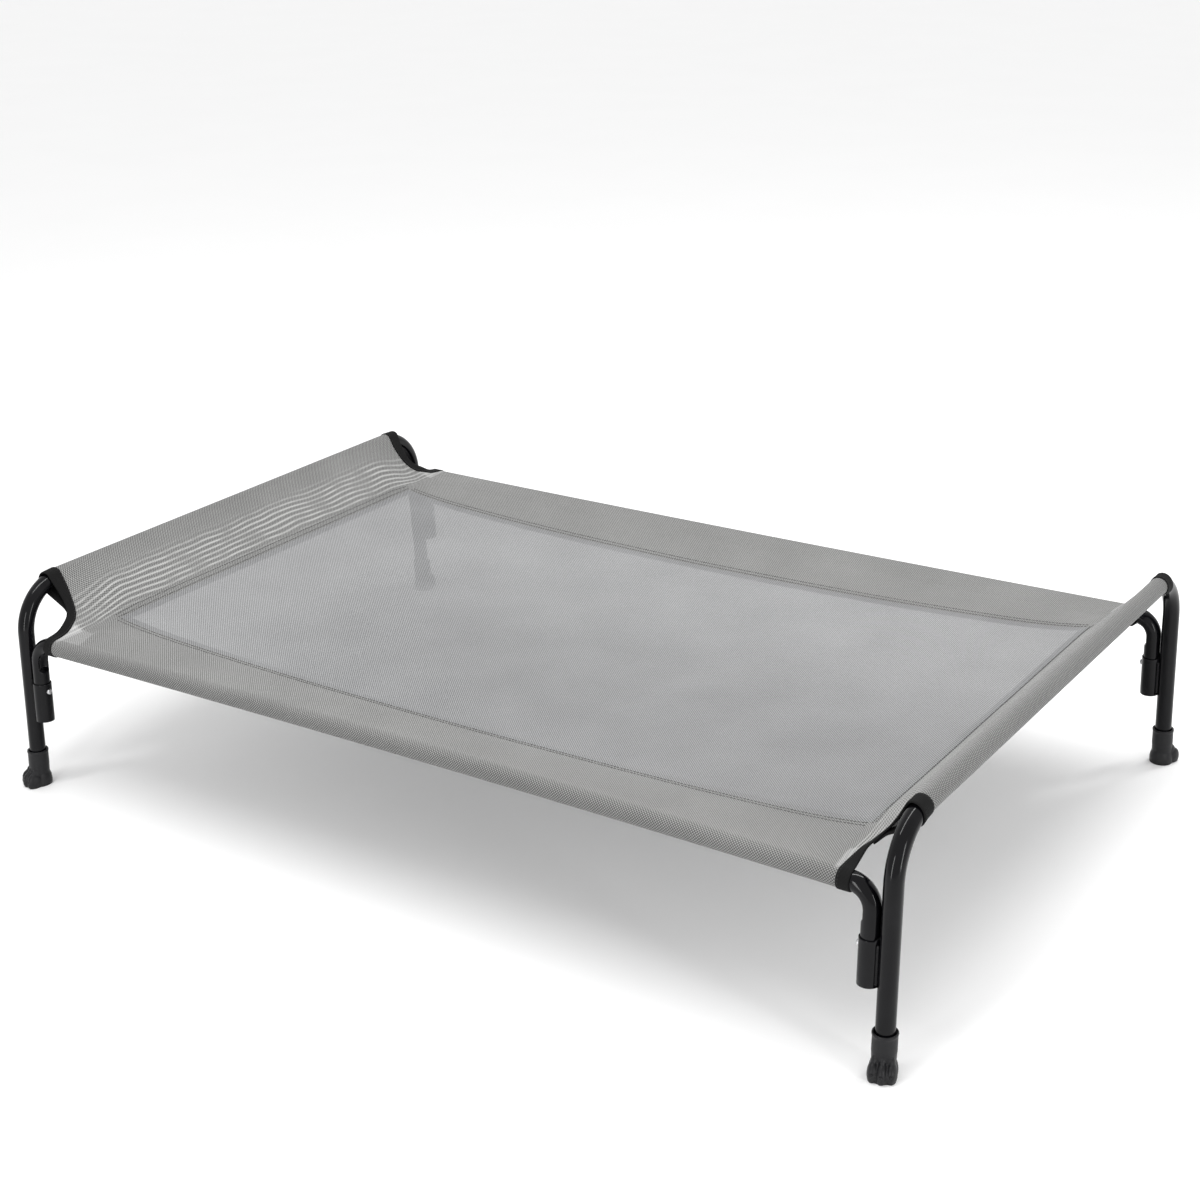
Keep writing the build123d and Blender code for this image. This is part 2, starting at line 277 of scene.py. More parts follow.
def foot_rubber():
    """Matt moulded rubber with a fine grain, paler where it is scuffed near the floor."""
    material, shader = principled("foot_rubber_black", (0.006, 0.006, 0.007), 0.42, Specular_IOR_Level=0.25)
    n = Nodes(material)
    place = n.place()
    height = n.new("ShaderNodeSeparateXYZ")
    n.put(height.inputs[0], place)
    near_floor = n.span(height.outputs[2], 0.0, 0.012, 1, 0)
    scuff = n.times(near_floor, n.span(n.noise(place, 260, 5), 0.45, 0.7, 0, 1))
    n.put(shader.inputs["Base Color"], n.mix(scuff, (0.006, 0.006, 0.007, 1), (0.02, 0.02, 0.019, 1)))
    n.put(shader.inputs["Roughness"], n.span(n.noise(place, 120, 3), 0.3, 0.7, 0.36, 0.5))
    n.bump(shader, n.noise(place, 1800, 2), 0.0001, 0.5)
    return material


def plated_steel(name, color, roughness):
    """Zinc plate: metal with fine cloudy marks."""
    material, shader = principled(name, color, roughness, Metallic=1.0)
    n = Nodes(material)
    place = n.place()
    marks = n.span(n.noise(place, 400, 4), 0.3, 0.7, roughness * 0.8, roughness * 1.4)
    n.put(shader.inputs["Roughness"], marks)
    n.bump(shader, n.noise(place, 1500, 2), 0.00004, 0.4)
    return material


def mesh_cloth(name, dark, pale, patches=False, streaks=False):
    """Coated mesh: a plain weave, partly clear between its yarns, and darker where it wraps a tube, partly
    from the black tube behind and partly as painted shade.

    Patches are where it is paler at the corners, and streaks are the pale lines on the end slopes.
    """
    finish = {"Sheen_Weight": 0.15, "Sheen_Roughness": 0.5, "Specular_IOR_Level": 0.35}
    material, shader = principled(name, pale[:3], 0.62, **finish)
    n = Nodes(material)
    uv, along, across = n.cloth_place()
    turn = math.pi / WEAVE
    warp = n.math("SINE", n.times(along, turn))
    weft = n.math("SINE", n.times(across, turn))
    over = n.times(warp, weft)
    gap = n.math("MAXIMUM", n.math("ABSOLUTE", warp), n.math("ABSOLUTE", weft))
    cloud = n.noise(uv, 9, 4)
    shade = n.math("ADD", n.times(over, 0.75), n.span(cloud, 0.3, 0.7, 0.43, 0.57), clamp=True)
    color = n.mix(shade, dark, pale)
    alpha = n.span(gap, 0.25, 0.55, 0.45, 0.97)
    far, wide = n.math("ABSOLUTE", along), n.math("ABSOLUTE", across)
    # Painted shade, in part: the cloth round the end tube and the rails is darkened towards near black, more
    # where the yarns go under. Part of this stands for the black tube showing through, and part is painted
    # shade on the cloth's down-facing sides.
    on_tube = n.between(far, FAR_TUBE - 0.004, FAR_TUBE + 0.012, FAR_BACK, FAR_BACK + 0.012)
    on_rail = n.between(wide, WIDE_TUBE - 0.004, WIDE_TUBE + 0.024, WIDE_BACK, WIDE_BACK + 0.012)
    tube_and_painted_shade = n.math("MAXIMUM", n.times(on_tube, 0.4), n.times(on_rail, 0.5))
    tube_and_painted_shade = n.times(tube_and_painted_shade, n.span(over, -0.8, 0.8, 1.5, 0.5))
    color = n.mix(tube_and_painted_shade, color, grey(0.02))
    if patches:
        patch_far = n.between(far, PATCH_FAR, PATCH_FAR + 0.003, FAR_TUBE - 0.002, FAR_TUBE)
        patch_wide = n.between(wide, PATCH_WIDE, PATCH_WIDE + 0.003, WIDE_TUBE, WIDE_TUBE + 0.006)
        patch = n.times(patch_far, patch_wide)
        color = n.mix(n.times(patch, 0.3), color, grey(0.6))
    if streaks:
        drift = n.noise(uv, 6, 2)
        wander = n.math("ADD", n.times(drift, 0.024), n.math("ABSOLUTE", along))
        wave = n.math("SINE", n.times(wander, 2 * math.pi / STREAK_PITCH))
        broken = n.span(n.noise(uv, 26, 2), 0.36, 0.56, 0.45, 1)
        first, last = FAR_SEAM + STREAKS_FROM, FAR_SEAM + STREAKS_TO
        shown = n.times(n.between(far, first, first + 0.008, last - 0.018, last), broken)
        streak = n.times(n.span(wave, 0.1, 0.95, 0, 1), shown)
        trough = n.times(n.span(wave, -1, -0.2, 0.3, 0), shown)
        color = n.mix(trough, color, grey(0.05))
        color = n.mix(n.times(streak, 0.85), color, (0.42, 0.42, 0.41, 1))
    n.put(shader.inputs["Base Color"], color)
    n.put(shader.inputs["Alpha"], alpha)
    n.bump(shader, over, 0.0004, 0.7)
    return material


def binding_tape():
    """Black woven tape with fine ribs across it."""
    material, shader = principled("binding_tape_black", (0.005, 0.005, 0.005), 0.85, Specular_IOR_Level=0.15)
    n = Nodes(material)
    _, along, across = n.cloth_place()
    rib = n.math("SINE", n.times(along, 2 * math.pi / RIB_PITCH))
    twill = n.math("SINE", n.times(n.math("ADD", along, across), 2 * math.pi / TWILL_PITCH))
    height = n.math("ADD", rib, n.times(twill, 0.6))
    n.put(shader.inputs["Base Color"], n.mix(n.span(height, -1.6, 1.6, 0, 1), grey(0.002), grey(0.009)))
    n.bump(shader, height, 0.0002, 0.7)
    return material


def thread(name, value):
    """Sewing thread of one grey, with a fuzzy surface."""
    material, shader = principled(name, (value, value, value), 0.7)
    n = Nodes(material)
    n.bump(shader, n.noise(n.place(), 2500, 2), 0.0001, 0.6)
    return material


def floor_paint():
    """Pale paint, very slightly cloudy."""
    material, shader = principled("pale_floor", (0.92, 0.92, 0.92), 0.6, Specular_IOR_Level=0.2)
    n = Nodes(material)
    n.put(shader.inputs["Base Color"], n.mix(n.noise(n.place(), 3, 4), grey(0.91), grey(0.93)))
    return material


COAT = powder_coat()
RUBBER = foot_rubber()
ZINC = plated_steel("bright_zinc_plate", (0.5, 0.5, 0.51), 0.3)
SPRING_STEEL = plated_steel("spring_steel_strip", (0.36, 0.36, 0.38), 0.35)
BARE_STEEL = plated_steel("plain_zinc_tube", (0.5, 0.5, 0.52), 0.4)
SINGLE = mesh_cloth("mesh_cloth_centre", (0.04, 0.041, 0.043, 1), (0.31, 0.313, 0.317, 1))
DOUBLE_TONES = (0.036, 0.036, 0.035, 1), (0.31, 0.31, 0.303, 1)
DOUBLE = mesh_cloth("mesh_cloth_side", *DOUBLE_TONES, patches=True)
SLOPE = mesh_cloth("mesh_cloth_end", *DOUBLE_TONES, patches=True, streaks=True)
TAPE = binding_tape()
SEAM_THREAD = thread("seam_thread_grey", 0.07)
TAPE_THREAD = thread("tape_thread_black", 0.01)


# ---- mesh helpers ----
def make_piece(name, points, faces, material, flat=None):
    """A smooth mesh object from points in millimetres; flat holds each point's place on the cut cloth."""
    mesh = bpy.data.meshes.new(name)
    mesh.from_pydata((np.asarray(points) * MM).tolist(), [], [list(map(int, f)) for f in faces])
    mesh.polygons.foreach_set("use_smooth", [True] * len(mesh.polygons))
    if flat is not None:
        layer = mesh.uv_layers.new(name="flat")
        corner_points = np.zeros(len(mesh.loops), dtype=np.int32)
        mesh.loops.foreach_get("vertex_index", corner_points)
        layer.data.foreach_set("uv", (np.asarray(flat)[corner_points] * MM).astype(np.float32).ravel())
    mesh.materials.append(material)
    mesh.update()
    piece = bpy.data.objects.new(name, mesh)
    bpy.context.scene.collection.objects.link(piece)
    return piece


def mirrored(points, faces, sx, sy):
    """Points and faces carried from the foot_back corner to another, facing outwards still."""
    points = np.asarray(points) * (sx, sy, 1)
    if sx * sy < 0:
        faces = [tuple(reversed(f)) for f in faces]
    return points, faces


def grid_faces(rows, columns, closed_rows=False, closed_columns=False, start=0):
    """Quads of a grid of points stored row by row, the first of them at start."""
    faces = []
    for i in range(rows if closed_rows else rows - 1):
        for j in range(columns if closed_columns else columns - 1):
            a = i * columns + j
            b = i * columns + (j + 1) % columns
            c = ((i + 1) % rows) * columns + (j + 1) % columns
            d = ((i + 1) % rows) * columns + j
            faces.append((start + a, start + b, start + c, start + d))
    return faces


def unit(vectors):
    """The same directions with length 1."""
    vectors = np.asarray(vectors, float)
    return vectors / np.maximum(np.linalg.norm(vectors, axis=-1, keepdims=True), 1e-12)


def sweep(path, radius, sides=44):
    """Rings of a tube along a path, with their outward normals, turned as little as possible."""
    path = np.asarray(path, float)
    tangents = unit(np.gradient(path, axis=0))
    side = unit(np.cross(tangents[0], (0.3, 0.1, 0.95)))
    rings, normals = [], []
    angles = np.linspace(0, 2 * math.pi, sides, endpoint=False)
    for point, tangent in zip(path, tangents):
        side = unit(side - tangent * (side @ tangent))
        other = np.cross(tangent, side)
        normal = np.cos(angles)[:, None] * side + np.sin(angles)[:, None] * other
        rings.append(point + radius * normal)
        normals.append(normal)
    return np.array(rings), np.array(normals)


def closed_tube(rings):
    """Points and faces of a tube with flat ends."""
    rows, sides = rings.shape[:2]
    faces = grid_faces(rows, sides, closed_columns=True)
    faces.append(tuple(reversed(range(sides))))
    faces.append(tuple(range((rows - 1) * sides, rows * sides)))
    return rings.reshape(-1, 3), faces


def straight(a, b, step):
    """Points of a straight line, no more than step apart."""
    a, b = np.asarray(a), np.asarray(b)
    count = max(2, int(np.linalg.norm(b - a) / step) + 1)
    return [a + (b - a) * t for t in np.linspace(0, 1, count)]


def bend(corner, toward, away, radius, steps=40):
    """Points of a round bend at corner, from direction toward to direction away."""
    toward, away = unit(toward), unit(away)
    turn = math.acos(float(toward @ away))
    inwards = unit(away - toward * (away @ toward))
    start = np.asarray(corner) - toward * radius * math.tan(turn / 2)
    centre = start + inwards * radius
    angles = np.linspace(0, turn, steps)
    return [centre - inwards * radius * math.cos(t) + toward * radius * math.sin(t) for t in angles]


def joined(*parts):
    """One path from several, without doubled points."""
    path = []
    for part in parts:
        for point in part:
            if not path or np.linalg.norm(point - path[-1]) > 0.05:
                path.append(np.asarray(point, float))
    return path


def bake(piece, *modifiers):
    """Applies modifiers, given as (type, settings), to a piece's mesh."""
    for kind, settings in modifiers:
        modifier = piece.modifiers.new(kind.lower(), kind)
        for key, value in settings.items():
            setattr(modifier, key, value)
    graph = bpy.context.evaluated_depsgraph_get()
    mesh = bpy.data.meshes.new_from_object(piece.evaluated_get(graph))
    piece.modifiers.clear()
    piece.data = mesh
    return piece


def settle(piece, slot, *nodes, body="frame"):
    """The piece rides on its body and stands for the CAD nodes, which it hides. slot is not used."""
    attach(piece, body)
    if nodes:
        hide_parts(*nodes)
    return piece


# ---- tube frame ----
def leg_shape():
    """Leg, bend and half of the end tube."""
    corner = (END_X, leg_y(END_Z), END_Z)
    arc = bend(corner, LEG_AXIS, (0, -1, 0), END_BEND_R)
    path = joined(
        straight((END_X, leg_y(LEG_BOTTOM), LEG_BOTTOM), arc[0], step=12),
        arc,
        straight(arc[-1], (END_X, leg_low[1], END_Z), step=20),
    )
    return closed_tube(sweep(path, TUBE_R)[0])


def rail_shape():
    """Half a side rail, its wall pressed in on the inside of the bend."""
    bow = [np.array([x, rail_y(x), RAIL_Z]) for x in np.linspace(rail_low[0], BOW_END_X, 40)]
    corner = np.array([SOCKET_X, leg_y(RAIL_Z), RAIL_Z])
    arc = bend(corner, corner - bow[-1], -LEG_AXIS, RAIL_BEND_R)
    tip = (SOCKET_X, leg_y(RAIL_TIP_Z), RAIL_TIP_Z)
    path = joined(bow, arc, straight(arc[-1], tip, step=1.3))
    rings = sweep(path, TUBE_R, 64)[0]
    path = np.array(path)
    steps = np.linalg.norm(np.diff(path, axis=0), axis=1)
    start = np.argmin(np.linalg.norm(path - arc[0], axis=1))
    past = np.concatenate([[0], np.cumsum(steps)]) - steps[:start].sum()
    tangents = unit(np.gradient(path, axis=0))
    inwards = unit(np.cross((0, 1, 0), tangents))
    sideways = np.cross(tangents, inwards)
    from_axis = rings - path[:, None]
    height = np.einsum("ijk,ik->ij", from_axis, inwards)
    across = np.einsum("ijk,ik->ij", from_axis, sideways)
    strength = smooth(0, DIMPLE_FULL, past) * (1 - smooth(DIMPLE_FADES, DIMPLE_ENDS, past))
    hollow = np.sqrt(np.clip(1 - (across / DIMPLE_HALF_WIDTH) ** 2, 0, 1))
    outside = 2.5  # where the pressing tool is when it has no strength, from the tube's wall
    wall = TUBE_R + outside - (DIMPLE_DEPTH + outside) * strength[:, None] * hollow
    crease = 0.45  # how softly the hollow's edge is rounded
    pressed = -crease * np.logaddexp(-height / crease, -wall / crease)
    moved = np.where(height > 0, pressed - height, 0)
    rings = rings + moved[..., None] * inwards[:, None]
    return closed_tube(rings)


def button_cutter(length):
    """A round cutter of that length for the snap button's hole."""
    middle = Vector((SOCKET_X - HOLE_CUT_MIDDLE, leg_y(BUTTON_Z), BUTTON_Z)) * MM
    placed = Matrix.Translation(middle) @ Matrix.Rotation(math.pi / 2, 4, "Y")
    radii = {"radius1": HOLE_R * MM, "radius2": HOLE_R * MM}
    mesh = bmesh.new()
    bmesh.ops.create_cone(mesh, cap_ends=True, segments=40, depth=length * MM, matrix=placed, **radii)
    data = bpy.data.meshes.new("cutter")
    mesh.to_mesh(data)
    mesh.free()
    cutter = bpy.data.objects.new("cutter", data)
    bpy.context.scene.collection.objects.link(cutter)
    return cutter


def taken_apart(piece):
    """A piece's points in millimetres and its faces. The piece itself is removed."""
    points = np.array([v.co for v in piece.data.vertices]) / MM
    faces = [tuple(p.vertices) for p in piece.data.polygons]
    bpy.data.objects.remove(piece)
    return points, faces


def with_button_hole(points, faces, length):
    """The shape after a hole of that length is cut for the snap button."""
    cutter = button_cutter(length)
    piece = make_piece("cut_me", points, faces, COAT)
    bpy.context.view_layer.update()
    bake(piece, ("BOOLEAN", {"operation": "DIFFERENCE", "object": cutter, "solver": "EXACT"}))
    shape = taken_apart(piece)
    bpy.data.objects.remove(cutter)
    return shape


def socket_shape():
    """Socket tube with rounded rims, and a tongue that rises and flares above the button."""
    outer_r, inner_r, sides, bottom = SOCKET_R, SOCKET_BORE_R, 72, -SOCKET_LENGTH
    points = []
    for angle in np.linspace(0, 2 * math.pi, sides, endpoint=False):
        from_middle = abs(angle - math.pi) / TONGUE_HALF_ANGLE
        tongue = math.cos(from_middle * math.pi / 2) ** 0.8 if from_middle < 1 else 0.0
        top, out = TONGUE_RISE * tongue, TONGUE_FLARE * tongue
        profile = [(bottom, inner_r + 0.3), (bottom, outer_r - 0.4)]
        profile += [(bottom + 0.1, outer_r - 0.1), (bottom + 0.5, outer_r)]
        profile += [(h, outer_r) for h in (-40, -30, -22, -17, -14, -10, -6, -4)]
        profile += [(-2 + 0.3 * top, outer_r + 0.25 * out), (top - 1.2, outer_r + 0.7 * out)]
        profile += [(top - 0.3, outer_r + out), (top, outer_r + out - 0.25)]
        profile += [(top, inner_r + out + 0.25), (top - 0.3, inner_r + out)]
        profile += [(top - 1.2, inner_r + 0.7 * out), (-2 + 0.3 * top, inner_r + 0.25 * out)]
        profile += [(h, inner_r) for h in (-4, -6, -10, -14, -17, -22, -40, bottom + 0.4)]
        across = -math.cos(angle) * np.array([1, 0, 0]) - math.sin(angle) * LEG_ACROSS
        for height, radius in profile:
            centre = np.array([SOCKET_X, leg_y(SOCKET_TOP), SOCKET_TOP]) + height * LEG_AXIS
            points.append(centre + radius * across)
    faces = grid_faces(sides, len(points) // sides, closed_rows=True, closed_columns=True)
    return np.array(points), [tuple(reversed(f)) for f in faces]


def blob(centre, radii, rings, sides):
    """Points and faces of one ellipsoid."""
    points = [(0, 0, -1)]
    for i in range(1, rings):
        polar = math.pi * i / rings
        for j in range(sides):
            turn = 2 * math.pi * j / sides
            out = math.sin(polar)
            points.append((out * math.cos(turn), out * math.sin(turn), -math.cos(polar)))
    points.append((0, 0, 1))
    last = len(points) - 1
    faces = [(0, 1 + (j + 1) % sides, 1 + j) for j in range(sides)]
    faces += grid_faces(rings - 1, sides, closed_columns=True, start=1)
    top = 1 + (rings - 2) * sides
    faces += [(last, top + j, top + (j + 1) % sides) for j in range(sides)]
    return np.array(points) * radii + centre, faces


def merge(shapes):
    """One list of points and faces from several."""
    points, faces, count = [], [], 0
    for some, sides in shapes:
        points.append(some)
        faces += [tuple(count + i for i in f) for f in sides]
        count += len(some)
    return np.concatenate(points), faces


def weld_shape():
    """Two weld beads in the corners between socket and leg, each a row of small overlapping ripples."""
    shapes = []
    count, first, pitch = 19, 5, 2.2
    for side in (-1, 1):
        for i in range(count):
            drop = first + i * pitch
            z = SOCKET_TOP - drop * LEG_AXIS[2]
            wander = 0.25 * math.sin(i * 2.3 + side)
            centre = (SOCKET_X + 10.6 + wander, leg_y(z) + side * 5.2, z)
            shapes.append(blob(centre, (2.3, 2.1, 1.9 + 0.2 * math.sin(i * 1.7)), 6, 10))
    return merge(shapes)


def paw_shape():
    """Rubber foot: a collar with a rolled lip, and a paw of three toes with small claws."""
    collar_r, top, step_z, bore_r, bore_z = 12.7, foot_high[2], 26.0, TUBE_R + 0.15, 14
    profile = [(0, 0), (collar_r - 1, 0), (collar_r - 0.2, step_z - 1), (collar_r, step_z)]
    profile += [(collar_r - 0.1, top - 4), (collar_r + 0.5, top - 2.2), (collar_r + 0.3, top - 0.7)]
    profile += [(collar_r - 0.5, top), (bore_r + 0.9, top - 0.3), (bore_r + 0.3, top - 1.5)]
    profile += [(bore_r, top - 8), (bore_r, bore_z), (0, bore_z)]
    sides = 64
    angles = np.linspace(0, 2 * math.pi, sides, endpoint=False)
    lathe = np.array([[(r * math.cos(a), r * math.sin(a), z) for a in angles] for r, z in profile])
    collar = (lathe.reshape(-1, 3), grid_faces(len(profile), sides, closed_columns=True))
    # each toe's place and half its width
    toes = [(-8.9, 10.3, 5.9), (0, 12.5, 6.1), (8.9, 10.3, 5.9)]
    paw = [
        blob((0, -0.5, 4), (14.4, 14.2, 21.5), 20, 32),
        blob((0, 4.5, 4), (12.2, 12.5, 18.5), 20, 32),
        blob((0, 6.5, 4.5), (13.4, 13.6, 14.5), 20, 32),
    ]
    for x, y, width in toes:
        paw.append(blob((x, y, 7.0), (width, 10.2, 12.0), 18, 28))
        paw.append(blob((x * 0.97, y - 3.5, 13), (width * 0.66, 7.6, 11.5), 16, 24))
    turned = np.array([[math.cos(PAW_TURN), -math.sin(PAW_TURN)], [math.sin(PAW_TURN), math.cos(PAW_TURN)]])
    points, faces = merge(paw)
    points[:, :2] = points[:, :2] @ turned
    points, faces = merge([collar, (points, faces)])
    points[:, 1] -= points[:, 2] * LEAN
    piece = make_piece("paw_form", points, faces, RUBBER)
    bake(
        piece,
        ("REMESH", {"mode": "VOXEL", "voxel_size": 0.75 * MM}),
        ("SMOOTH", {"factor": 0.5, "iterations": 3}),
    )
    points, faces = taken_apart(piece)
    claws = []
    pit_r, pit_depth = 3.4, 1.5
    for x, y, width in toes:
        claw = np.array([*(np.array([x * 1.02, y + 9.3]) @ turned), 8.6])
        away = np.linalg.norm(points - claw, axis=1)
        push = np.clip(1 - (away / pit_r) ** 2, 0, 1) ** 2
        points[:, :2] -= pit_depth * push[:, None] * turned[1]
        claws.append(blob(claw - 1.6 * np.array([*turned[1], 0]), (1.5, 1.6, 1.35), 10, 14))
    points[:, 2] = np.maximum(points[:, 2], 0.0)
    points, faces = merge([(points, faces), *claws])
    return points + (END_X, leg_y(0), 0), faces


def spring_shape(width):
    """Leaf spring inside a rail end: a V of flat strip, one arm at the button and one at the wall."""
    thickness = SPRING_THICKNESS
    near, wall = 5.5 - thickness, 7.6
    marks = [(-near, 5), (-near, -7), (1, -29), (wall, -6), (wall, 4)]
    line = resampled(rounded([np.array(v, float) for v in marks], 2), 0.7)
    ahead = unit(np.gradient(line, axis=0))
    sideways = np.stack([-ahead[:, 1], ahead[:, 0]], axis=-1) * thickness / 2
    rings = []
    for face, edge in ((1, -1), (1, 1), (-1, 1), (-1, -1)):
        flat = line + face * sideways
        y = np.full(len(line), leg_y(BUTTON_Z) + edge * width / 2)
        rings.append(np.stack([SOCKET_X + flat[:, 0], y, BUTTON_Z + flat[:, 1]], axis=-1))
    return closed_tube(np.array(rings).transpose(1, 0, 2))


def build_springs():
    """A leaf spring in each rail end, in place of the CAD spring, which is hidden."""
    low, high = box_mm("button_spring_foot_back")
    shape = spring_shape(high[1] - low[1])
    for corner, (sx, sy) in CORNERS.items():
        piece = make_piece(f"leaf_spring_{corner}", *mirrored(*shape, sx, sy), SPRING_STEEL)
        piece.data.set_sharp_from_angle(angle=math.radians(40))
        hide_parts(f"button_spring_{corner}")
        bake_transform(piece)


def build_frame():
    """Legs, rails, sockets and paws at all four corners."""
    leg = leg_shape()
    rail = with_button_hole(*rail_shape(), RAIL_CUT)
    socket = merge([with_button_hole(*socket_shape(), SOCKET_CUT), weld_shape()])
    paw = paw_shape()
    for corner, (sx, sy) in CORNERS.items():
        for name, shape, material, slot, node in (
            ("leg_tube", leg, COAT, "powder_coat", "corner_leg"),
            ("rail_tube", rail, COAT, "powder_coat", "side_rail"),
            ("socket_tube", socket, COAT, "powder_coat", "socket"),
            ("paw", paw, RUBBER, "foot_rubber", "paw_foot"),
        ):
            piece = make_piece(f"{name}_{corner}", *mirrored(*shape, sx, sy), material)
            piece.data.set_sharp_from_angle(angle=math.radians(40))
            settle(piece, slot, f"{node}_{corner}")


def finish_cad_nodes():
    """Materials of the nodes that keep their CAD shape."""
    for name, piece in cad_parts.items():
        if name.startswith("snap_button"):
            finish = ZINC
        elif "joiner" in name:
            finish = BARE_STEEL
        else:
            continue
        piece.data.materials.clear()
        piece.data.materials.append(finish)


# ---- the sling's shape ----
FALL_Q = (345, 382)         # across the flat cloth, the end slope's rise falls away between these,
HOLLOW_Q = (250, 322)       # and its line turns hollow between these
SLACK_RISE = 0.22           # height of the cloth's slight slack waves
FOLD_RISE = 0.25            # height of the small folds at each corner,
FOLD_AT = (18, 30)          # their middle, past the end seam and past the side seam,
FOLD_REACH = 60             # how far they spread from there,
FOLD_PITCH = 5.2            # and how close they lie


def side_seam_z(x):
    """Height of a side seam: level with the end seams at its ends, and lower between them."""
    u = np.minimum(np.abs(x) / SEAM_X, 1)
    return SEAM_Z - SIDE_DIP + SIDE_DIP * (0.7 * u**2 + 0.3 * u**12)


def side_seam_y(x):
    """Distance of a side seam from the bed's centre line: it keeps its distance from the rail."""
    return SEAM_Y - (rail_y(SEAM_X) - rail_y(x))


def centre_z(x, y):
    """Height of the centre panel, which sags between its seams."""
    across = 1 - (y / side_seam_y(x)) ** 2
    along = 1 - np.minimum(np.abs(x) / SEAM_X, 1) ** 2
    return side_seam_z(x) - CENTRE_SAG * across * along


def loop_point(d, tube_u, tube_z, seam_u, seam_z):
    """Place at length d along the cloth from the seam: up the slope, round the tube and back below."""
    slope, wrap, first = loop_lengths(tube_u, tube_z, seam_u, seam_z)
    touch_u = tube_u + CLOTH_R * np.cos(first)
    touch_z = tube_z + CLOTH_R * np.sin(first)
    t = np.clip(d / slope, 0, 1)
    angle = first - np.clip(d - slope, 0, wrap) / CLOTH_R
    last = first - wrap / CLOTH_R
    leave_u = tube_u + CLOTH_R * np.cos(last)
    leave_z = tube_z + CLOTH_R * np.sin(last)
    back = np.clip((d - slope - wrap) / slope, 0, 1)
    past = np.maximum(d - 2 * slope - wrap, 0)
    u = np.where(d < slope, seam_u + (touch_u - seam_u) * t, tube_u + CLOTH_R * np.cos(angle))
    z = np.where(d < slope, seam_z + (touch_z - seam_z) * t, tube_z + CLOTH_R * np.sin(angle))
    low_z = seam_z - LAYER_GAP
    u = np.where(d > slope + wrap, leave_u + (seam_u - leave_u) * back - past, u)
    z = np.where(d > slope + wrap, leave_z + (low_z - leave_z) * back, z)
    return u, z


def cloth(p, q):
    """Place of the cloth at flat lengths p along the bed and q across it, both from the middle."""
    p, q = np.asarray(p, float), np.asarray(q, float)
    along, across = np.abs(p), np.abs(q)
    end_x, end_z = loop_point(along - SEAM_X, END_X, END_Z, SEAM_X, SEAM_Z)
    on_end = along > SEAM_X
    on_side = across > SEAM_Y
    falling = 1 - smooth(*FALL_Q, across)
    hollow = smooth(*HOLLOW_Q, across)
    hold = np.where(on_end & on_side & (along < P_TUBE), falling, 1.0)
    x = np.where(on_end, along + (end_x - along) * hold, along)
    x = np.where(on_side & (across > Q_TUBE - 1), np.minimum(along, x), x)
    up_slope = np.clip((along - SEAM_X) / END_SLOPE, 0, 1)
    rise = np.where(on_end, (end_z - SEAM_Z) * hold * (1 + (up_slope - 1) * hollow), 0.0)
    over = np.clip((x - SEAM_X) / (END_RUN * END_SLOPE), 0, 1)
    rise_above = END_RISE * END_SLOPE * (over + (over**2 - over) * hollow) * falling
    held_below = -np.logaddexp(-rise, -(rise_above - LAYER_GAP * (1 + 0.6 * hollow)))
    rise = np.where(along > P_BACK, held_below, rise)
    under = smooth(P_TUBE, P_BACK, along) * np.clip((P_SEAM - along) / END_SLOPE, 0, 1)
    bend_drop = END_BEND_R - np.sqrt(END_BEND_R**2 - np.clip(across - BEND_Y, 0, 40) ** 2)
    rise = rise - bend_drop * under
    seam_at = np.minimum(x, SEAM_X)
    seam_y, seam_z = side_seam_y(seam_at), side_seam_z(seam_at)
    side_u, side_z = loop_point(across - SEAM_Y, rail_y(x), RAIL_Z, seam_y, seam_z)
    middle_y = across * seam_y / SEAM_Y
    y = np.where(on_side, side_u, middle_y)
    z = np.where(on_side, side_z, np.where(on_end, SEAM_Z, centre_z(seam_at, middle_y)))
    z = z + rise
    past_end = along > P_SEAM
    below = centre_z(seam_at, np.minimum(y, seam_y)) - LAYER_GAP
    z = np.where(past_end, below, z)
    past_side = across > Q_SEAM
    z = np.where(past_side & ~past_end, centre_z(seam_at, y) - LAYER_GAP, z)
    top = (along < P_TUBE) & (across < Q_TUBE)
    from_middle = (along - SEAM_X - FOLD_AT[0]) ** 2 + (across - SEAM_Y - FOLD_AT[1]) ** 2
    folds = FOLD_RISE * np.sin((along - across) / FOLD_PITCH) * np.exp(-from_middle / FOLD_REACH**2)
    slack = SLACK_RISE * np.sin(p / 61 + q / 83) * np.sin(q / 47 - p / 120)
    off_tubes = smooth(0, 30, P_TUBE - along) * smooth(0, 30, Q_TUBE - across)
    z = z + np.where(top, folds + slack * off_tubes, 0)
    return np.stack([x * np.sign(p + (p == 0)), y * np.sign(q + (q == 0)), z], axis=-1)


def cloth_normal(p, q):
    """Unit normals of the cloth, up on top and outwards round a tube."""
    step = 0.4
    dp = cloth(p + step, q) - cloth(p - step, q)
    dq = cloth(p, q + step) - cloth(p, q - step)
    return unit(np.cross(dp, dq))


def rounded(points, times):
    """A line of points with its corners cut that many times."""
    for _ in range(times):
        line = [points[0]]
        for a, b in zip(points[:-1], points[1:]):
            line += [0.75 * a + 0.25 * b, 0.25 * a + 0.75 * b]
        points = line + [points[-1]]
    return points


def resampled(points, step):
    """Evenly spaced points on a flat line, about step apart."""
    points = np.array(points)
    lengths = np.concatenate([[0], np.cumsum(np.linalg.norm(np.diff(points, axis=0), axis=1))])
    at = np.linspace(0, lengths[-1], int(lengths[-1] / step) + 1)
    return np.stack([np.interp(at, lengths, points[:, i]) for i in range(2)], axis=-1)


